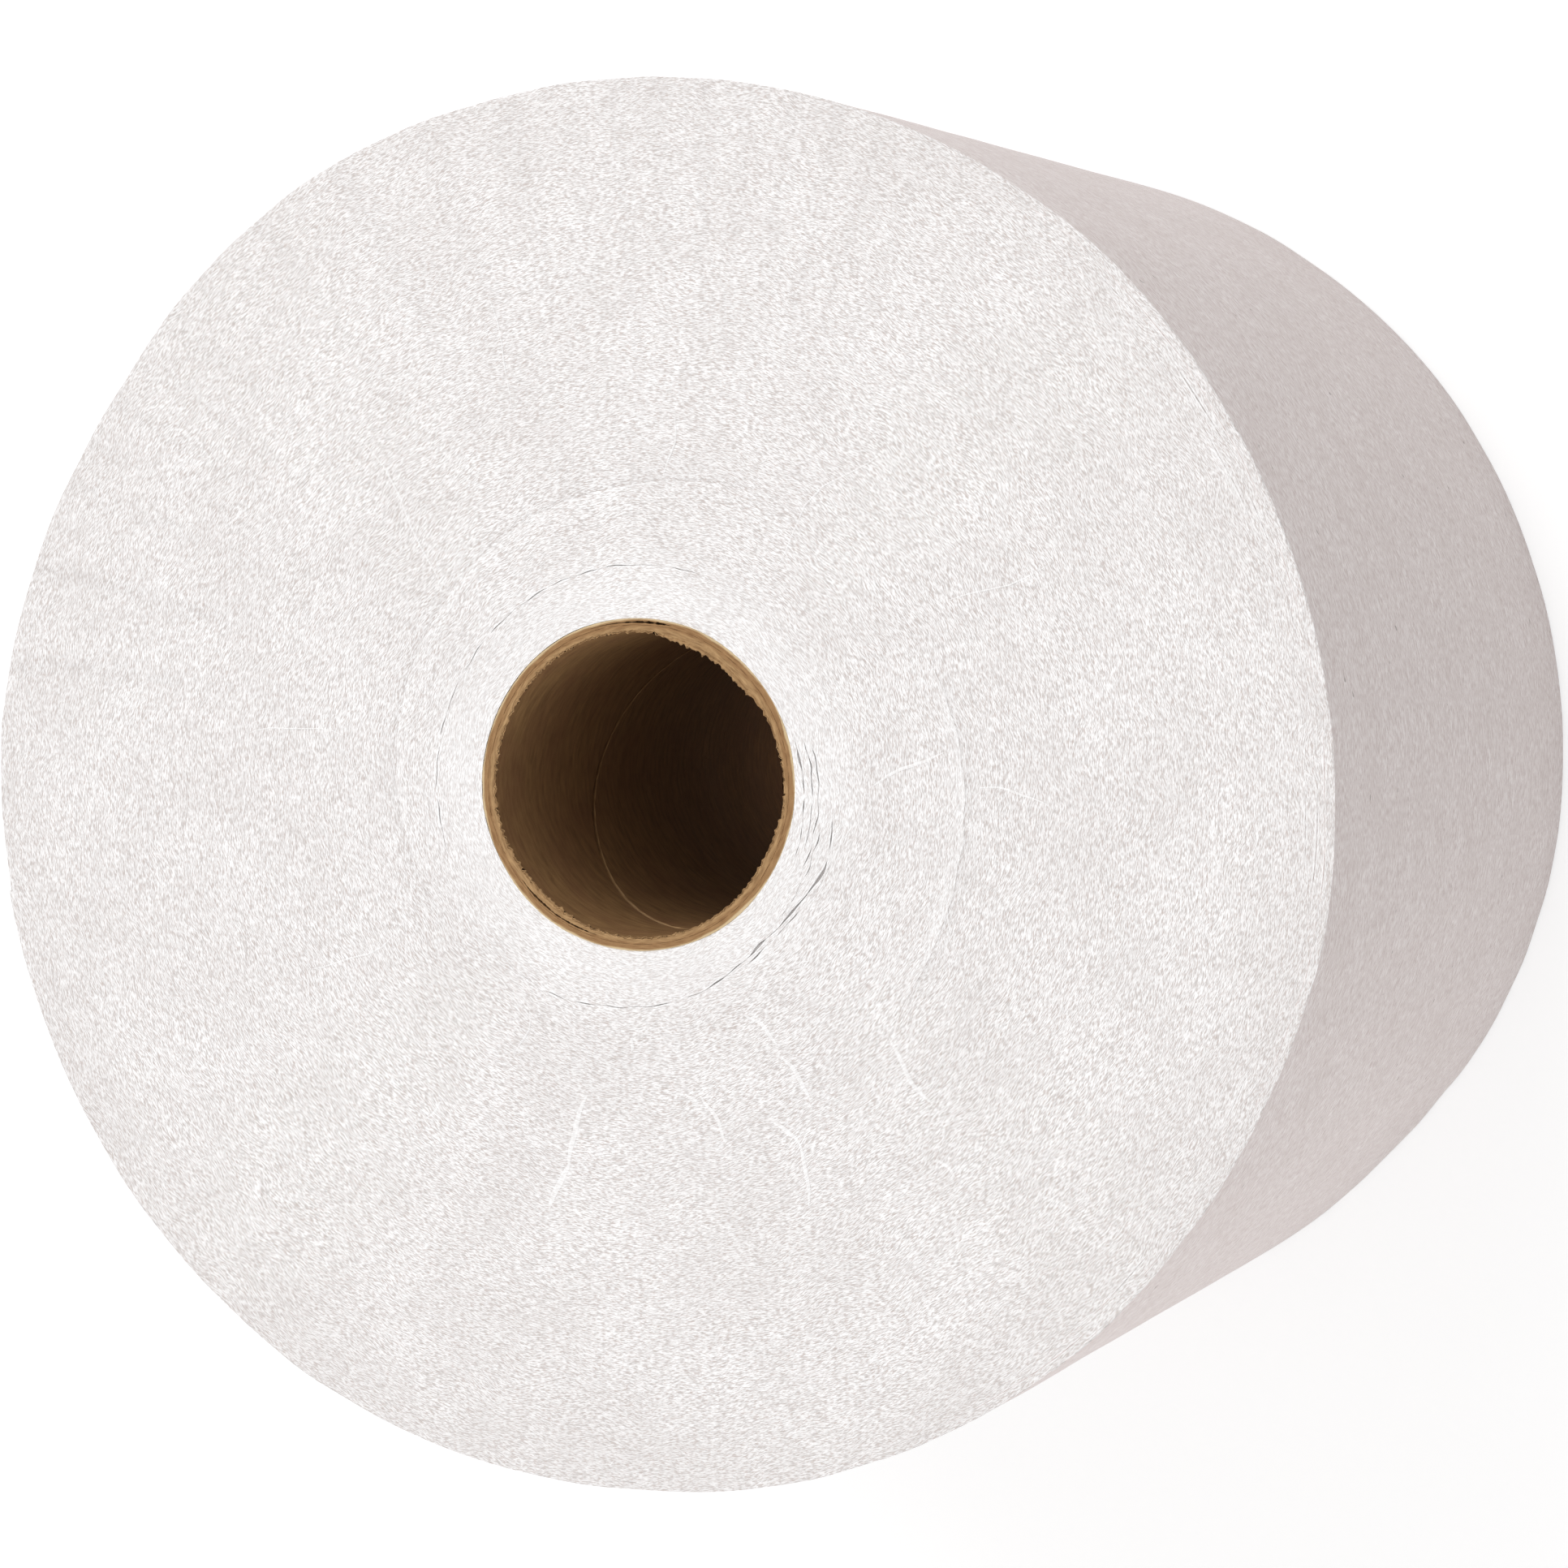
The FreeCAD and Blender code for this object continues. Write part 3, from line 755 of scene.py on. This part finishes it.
def stain(tree, colour, tint, pattern, none_at, full_at, most):
    """Tints a colour by a pattern: not at all at one value of it, and by the most at another."""
    share = add_node(tree, "ShaderNodeMapRange", {
        "Value": pattern, "From Min": none_at, "From Max": full_at, "To Min": 0.0, "To Max": most})
    tinted = add_node(tree, "ShaderNodeMix", {0: share.outputs["Result"], 6: colour, 7: linear(tint)},
                      data_type="RGBA")
    return tinted.outputs[2]


print("helpers for grain and stains ready")

# %% The sawn ends
def sawn_tissue():
    """Log-sawn creped tissue: its cut fibres scatter light, so it is quite matt and nearly white."""
    material, tree, shader = start_material("log_sawn_creped_tissue", 0.95, 0.15)
    place = add_node(tree, "ShaderNodeTexCoord", {}).outputs["Object"]
    radius = from_axis(tree, place)[1]
    strands = fibre_grain(tree, place, 0.45, 0.07, slant=3.0, seed=3.0)
    crossing = fibre_grain(tree, place, 0.4, 0.07, slant=-3.4, seed=17.0)
    bundles = fibre_grain(tree, place, 1.8, 0.2, slant=2.2, seed=11.0)
    mottle = add_node(tree, "ShaderNodeTexNoise", {
        "Vector": place, "Scale": 1 / (16 * MM), "Detail": 3.0, "Roughness": 0.6}).outputs["Fac"]
    whitened = add_node(tree, "ShaderNodeAttribute", {}, attribute_name="whitened").outputs["Fac"]
    shaded = add_node(tree, "ShaderNodeAttribute", {}, attribute_name="shaded").outputs["Fac"]

    # The fibres' shadows, and the cloudiness of the end.
    colour = linear("FCFBFB")
    colour = stain(tree, colour, "BBB4B1", strands, 0.57, 0.34, 0.8)
    colour = stain(tree, colour, "C2B4AE", crossing, 0.5, 0.31, 0.75)
    colour = stain(tree, colour, "C9C2BF", bundles, 0.55, 0.35, 0.12)
    colour = stain(tree, colour, "C9C2BF", mottle, 0.62, 0.38, 0.16)
    # The turns near the core are whiter, and the rim is greyer.
    colour = stain(tree, colour, "FFFFFF", radius, 40 * MM, 31 * MM, 0.22)
    colour = stain(tree, colour, "C9C2BF", radius, 98 * MM, 115 * MM, 0.14)
    # The slits' floors and their torn lips.
    # Painted shade on the slits' floors and outside the band edge, and white on torn lips, with painted
    # light inside the band edge.
    colour = stain(tree, colour, "8C8582", shaded, 0.0, 1.0, 0.75)
    colour = stain(tree, colour, "FFFFFF", whitened, 0.1, 1.0, 0.85)
    tree.links.new(colour, shader.inputs["Base Color"])

    relief = add_node(tree, "ShaderNodeMath", {0: bundles, 1: 0.5, 2: strands}, operation="MULTIPLY_ADD")
    bump = add_node(tree, "ShaderNodeBump", {
        "Height": relief.outputs["Value"], "Strength": 0.4, "Distance": 0.15 * MM})
    tree.links.new(bump.outputs["Normal"], shader.inputs["Normal"])
    return material


tissue_end = sawn_tissue()
print("made", tissue_end.name)

# %% [markdown]
# ### The outer web
#
# The curved side is the flat face of the same tissue, pressed smooth by the winding. It is
# warmer than the ends, a pinkish grey-white. Its grain is fine and runs round the roll, in the
# direction that the paper machine ran. It is drawn about 0.4 mm wide, because single fibres of
# 0.03 mm would not show. A broad noise bends it a little, so that it makes no level lines. A few
# dark specks of recycled pulp lie here and there.

# %% The curved side
def calendered_web():
    """The flat face of hard-wound tissue: pressed, so a little smoother than the cut, and warm."""
    material, tree, shader = start_material("hard_wound_tissue_web", 0.9, 0.2)
    place = add_node(tree, "ShaderNodeTexCoord", {}).outputs["Object"]
    broad = add_node(tree, "ShaderNodeTexNoise", {"Vector": place, "Scale": 1 / (9 * MM), "Detail": 0.0})
    rise = add_node(tree, "ShaderNodeMath", {0: broad.outputs["Fac"], 1: 3.5 * MM}, operation="MULTIPLY")
    lift = add_node(tree, "ShaderNodeCombineXYZ", {"Z": rise.outputs["Value"]})
    bent = add_node(tree, "ShaderNodeVectorMath", {0: place, 1: lift.outputs["Vector"]}, operation="ADD")
    drawn = add_node(tree, "ShaderNodeVectorMath", {
        0: bent.outputs["Vector"], 1: (0.8 / MM, 0.8 / MM, 2.6 / MM)}, operation="MULTIPLY")
    grain = add_node(tree, "ShaderNodeTexNoise", {
        "Vector": drawn.outputs["Vector"], "Scale": 1.0, "Detail": 2.0, "Roughness": 0.65}).outputs["Fac"]
    mottle = add_node(tree, "ShaderNodeTexNoise", {
        "Vector": place, "Scale": 1 / (14 * MM), "Detail": 3.0}).outputs["Fac"]
    speck = add_node(tree, "ShaderNodeTexNoise", {
        "Vector": place, "Scale": 1 / (2.2 * MM), "Detail": 1.0}).outputs["Fac"]

    colour = stain(tree, linear("DCCECB"), "FFF8F6", grain, 0.36, 0.64, 1.0)
    colour = stain(tree, colour, "DDD0CC", mottle, 0.65, 0.35, 0.22)
    colour = stain(tree, colour, "8A7A74", speck, 0.775, 0.81, 0.6)
    whitened = add_node(tree, "ShaderNodeAttribute", {}, attribute_name="whitened").outputs["Fac"]
    shaded = add_node(tree, "ShaderNodeAttribute", {}, attribute_name="shaded").outputs["Fac"]
    # Painted shade at the foot of the loose end, and white along its frayed edge.
    colour = stain(tree, colour, "978A86", shaded, 0.3, 1.0, 0.7)
    colour = stain(tree, colour, "FFFFFF", whitened, 0.3, 1.0, 0.7)
    tree.links.new(colour, shader.inputs["Base Color"])
    bump = add_node(tree, "ShaderNodeBump", {"Height": grain, "Strength": 0.35, "Distance": 0.2 * MM})
    tree.links.new(bump.outputs["Normal"], shader.inputs["Normal"])
    return material


tissue_side = calendered_web()
print("made", tissue_side.name)

# %% [markdown]
# ### Kraft board
#
# The core is unbleached kraft board. Its sawn end is tan, with the plies as paler and darker
# rings and fibres along them. The wall of the bore is kraft liner. It is browner and smoother
# than the cut, and it has almost no shine, because dust from the saw covers it. Its streaks are
# about 1 mm high and 4 mm long.

# %% The core's sawn end
def sawn_board():
    """Sawn kraft board: torn brown fibres, matt, in plies of slightly different pulp."""
    material, tree, shader = start_material("sawn_kraft_board", 0.9, 0.2)
    place = add_node(tree, "ShaderNodeTexCoord", {}).outputs["Object"]
    radius = from_axis(tree, place)[1]
    strands = fibre_grain(tree, place, 1.0, 0.15, slant=2.4, seed=5.0)
    patches = add_node(tree, "ShaderNodeTexNoise", {
        "Vector": place, "Scale": 1 / (7 * MM), "Detail": 2.0}).outputs["Fac"]
    ply = add_node(tree, "ShaderNodeMath", {0: patches, 1: 0.9 * MM, 2: radius},
                   operation="MULTIPLY_ADD").outputs["Value"]

    colour = stain(tree, linear("8A6A48"), "B8956B", strands, 0.25, 0.75, 1.0)
    colour = stain(tree, colour, "8A6340", ply, (BORE_RADIUS + 0.9) * MM, (BORE_RADIUS + 1.2) * MM, 0.45)
    colour = stain(tree, colour, "DEC8A0", ply, CORE_RADIUS * MM, (CORE_RADIUS + 0.25) * MM, 0.75)
    tree.links.new(colour, shader.inputs["Base Color"])
    bump = add_node(tree, "ShaderNodeBump", {"Height": strands, "Strength": 0.7, "Distance": 0.25 * MM})
    tree.links.new(bump.outputs["Normal"], shader.inputs["Normal"])
    return material


board_end = sawn_board()
print("made", board_end.name)

# %% The core's bore
def kraft_liner():
    """The face of kraft board inside the tube: smooth but dusty, so matt, with streaks round it."""
    material, tree, shader = start_material("kraft_liner", 0.85, 0.1)
    place = add_node(tree, "ShaderNodeTexCoord", {}).outputs["Object"]
    strip = add_node(tree, "ShaderNodeVectorMath", {0: place, 1: (0.25 / MM, 0.25 / MM, 0.9 / MM)},
                     operation="MULTIPLY")
    streaks = add_node(tree, "ShaderNodeTexNoise", {
        "Vector": strip.outputs["Vector"], "Scale": 1.0, "Detail": 3.0, "Roughness": 0.6}).outputs["Fac"]
    patches = add_node(tree, "ShaderNodeTexNoise", {
        "Vector": place, "Scale": 1 / (9 * MM), "Detail": 2.0}).outputs["Fac"]
    seam_shade_and_highlight = add_node(tree, "ShaderNodeAttribute", {}, attribute_name="seam_shade_and_highlight").outputs["Fac"]
    colour = stain(tree, linear("7E6040"), "9C7A52", streaks, 0.3, 0.7, 1.0)
    colour = stain(tree, colour, "805A42", patches, 0.4, 0.7, 0.4)
    # Painted shade in the seam's groove and a painted highlight beside it.
    colour = stain(tree, colour, "2E2016", seam_shade_and_highlight, 0.0, 0.8, 0.6)
    colour = stain(tree, colour, "C9AC84", seam_shade_and_highlight, 0.0, -1.0, 0.55)
    tree.links.new(colour, shader.inputs["Base Color"])
    bump = add_node(tree, "ShaderNodeBump", {"Height": streaks, "Strength": 0.2, "Distance": 0.1 * MM})
    tree.links.new(bump.outputs["Normal"], shader.inputs["Normal"])
    return material


board_wall = kraft_liner()
print("made", board_wall.name)

# %% [markdown]
# Each piece gets two materials. A face's place and direction say which one it takes: on the
# winding the side begins at the rim, and on the core the liner begins under the burr.

# %% Give each face its material
DEEPEST_DENT = 3.2
BURR_DEPTH = 0.8


def finish_piece(piece, materials, takes_second, sharp_angle):
    """Shades the piece smooth and gives the second material to the faces that a test names."""
    for material in materials:
        piece.data.materials.append(material)
    centres = np.empty(len(piece.data.polygons) * 3)
    normals = np.empty(len(piece.data.polygons) * 3)
    piece.data.polygons.foreach_get("center", centres)
    piece.data.polygons.foreach_get("normal", normals)
    chosen = takes_second(centres.reshape(-1, 3) / MM, normals.reshape(-1, 3))
    piece.data.polygons.foreach_set("material_index", chosen.astype(np.int32))
    bpy.ops.object.select_all(action="DESELECT")
    piece.select_set(True)
    bpy.context.view_layer.objects.active = piece
    bpy.ops.object.shade_smooth_by_angle(angle=math.radians(sharp_angle))
    print(piece.name, "faces", len(chosen), "with the second material", int(chosen.sum()))


def on_web(centres, normals):
    """Faces of the curved side."""
    at_rim = np.hypot(centres[:, 0], centres[:, 1]) > ROLL_RADIUS - DEEPEST_DENT
    return at_rim & (np.abs(normals[:, 2]) < 0.5)


def on_liner(centres, normals):
    """Faces of the bore below the burr."""
    depth = np.minimum(centres[:, 2], HEIGHT - centres[:, 2])
    return (depth > BURR_DEPTH) & (np.abs(normals[:, 2]) < 0.6)


finish_piece(winding, (tissue_end, tissue_side), on_web, 35)
finish_piece(core, (board_end, board_wall), on_liner, 40)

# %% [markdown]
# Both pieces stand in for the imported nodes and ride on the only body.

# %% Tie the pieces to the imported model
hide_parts("wound_paper")
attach(winding, "root")
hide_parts("core_tube")
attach(core, "root")
print("pieces tied")

# %% [markdown]
# ## Floor, light and camera
#
# The floor is white to the camera and an ordinary pale grey to the light that falls on it, so
# the picture's ground is white and the roll still leaves a soft shadow there.

# %% Floor
FLOOR_GLOW = 0.52


def seen_directly(tree):
    """1 for what the camera sees, also in a gloss or through something clear."""
    path = add_node(tree, "ShaderNodeLightPath", {})
    seen = path.outputs["Is Camera Ray"]
    for kind in ("Is Glossy Ray", "Is Transmission Ray"):
        either = add_node(tree, "ShaderNodeMath", {0: seen, 1: path.outputs[kind]}, operation="MAXIMUM")
        seen = either.outputs[0]
    return seen


bpy.ops.object.select_all(action="DESELECT")
bpy.ops.mesh.primitive_plane_add(size=8.0, location=(0, 0, 0))
floor = bpy.context.object
floor.name = floor.data.name = "floor"
ground, tree, shader = start_material("pale_floor", 0.9, 0.1)
shader.inputs["Base Color"].default_value = linear("C4C4C4")
shader.inputs["Emission Color"].default_value = (1.0, 1.0, 1.0, 1.0)
glow = add_node(tree, "ShaderNodeMath", {0: seen_directly(tree), 1: FLOOR_GLOW}, operation="MULTIPLY")
tree.links.new(glow.outputs[0], shader.inputs["Emission Strength"])
floor.data.materials.append(ground)
print("floor 8 m square")

# %% [markdown]
# Most of the light comes from all round, as in a white tent. A broad lamp above the top of the
# picture gives the relief its direction, and a weaker one below keeps the lower side open. The
# tube is open at both ends, so a faint warm disk of light at its foot stands for the light that
# comes in through the far opening and takes on the colour of the wall.

# %% World and lamps
TENT_LIGHT = 0.7


def soft_lamp(name, place, size, power):
    """A square lamp at a place in metres that faces the roll's upper end."""
    bpy.ops.object.light_add(type="AREA", location=place)
    lamp = bpy.context.object
    lamp.name = lamp.data.name = name
    lamp.data.size = size
    lamp.data.energy = power
    aim = Vector((0, 0, HEIGHT * MM)) - Vector(place)
    lamp.rotation_mode = "QUATERNION"
    lamp.rotation_quaternion = aim.to_track_quat("-Z", "Y")


world = bpy.data.worlds.new("white_tent")
bpy.context.scene.world = world
world.use_nodes = True
tent = world.node_tree.nodes["Background"]
tent.inputs["Color"].default_value = (1.0, 1.0, 1.0, 1.0)
strength = add_node(world.node_tree, "ShaderNodeMapRange", {
    "Value": seen_directly(world.node_tree), "To Min": TENT_LIGHT, "To Max": 1.0})
world.node_tree.links.new(strength.outputs["Result"], tent.inputs["Strength"])
soft_lamp("key_lamp", (0.95, 0.4, 1.45), 1.2, 13.5)
soft_lamp("fill_lamp", (-1.1, -0.1, 0.6), 0.9, 4.0)
bpy.ops.object.light_add(type="AREA", location=(0, 0, 0.004))
opening = bpy.context.object
opening.name = opening.data.name = "far_opening"
opening.data.shape = "DISK"
opening.data.size = 0.045
opening.data.energy = 0.008
opening.data.color = linear("FFEBD6")[:3]
opening.rotation_euler = (math.pi, 0, 0)
print("tent, two lamps and the far opening")

# %% [markdown]
# The camera was found by fitting the outlines of both ends and of the core to the photograph.

# %% Camera
CAMERA_PLACE = (0.0344, -0.2848, 0.9548)
CAMERA_RIGHT = (0.0, -0.94522, -0.32645)
CAMERA_UP = (0.99909, 0.01390, -0.04026)
LENS, SENSOR = 114.07, 36.0

bpy.ops.object.camera_add()
camera = bpy.context.object
right, up = Vector(CAMERA_RIGHT), Vector(CAMERA_UP)
turn = Matrix((right, up, right.cross(up))).transposed().to_4x4()
camera.matrix_world = Matrix.Translation(CAMERA_PLACE) @ turn
camera.data.lens, camera.data.sensor_width = LENS, SENSOR
camera.data.clip_start, camera.data.clip_end = 0.01, 50.0
bpy.context.scene.camera = camera
bpy.context.scene.view_settings.view_transform = "Standard"
print("camera", round(camera.location.length, 3), "m from the origin")
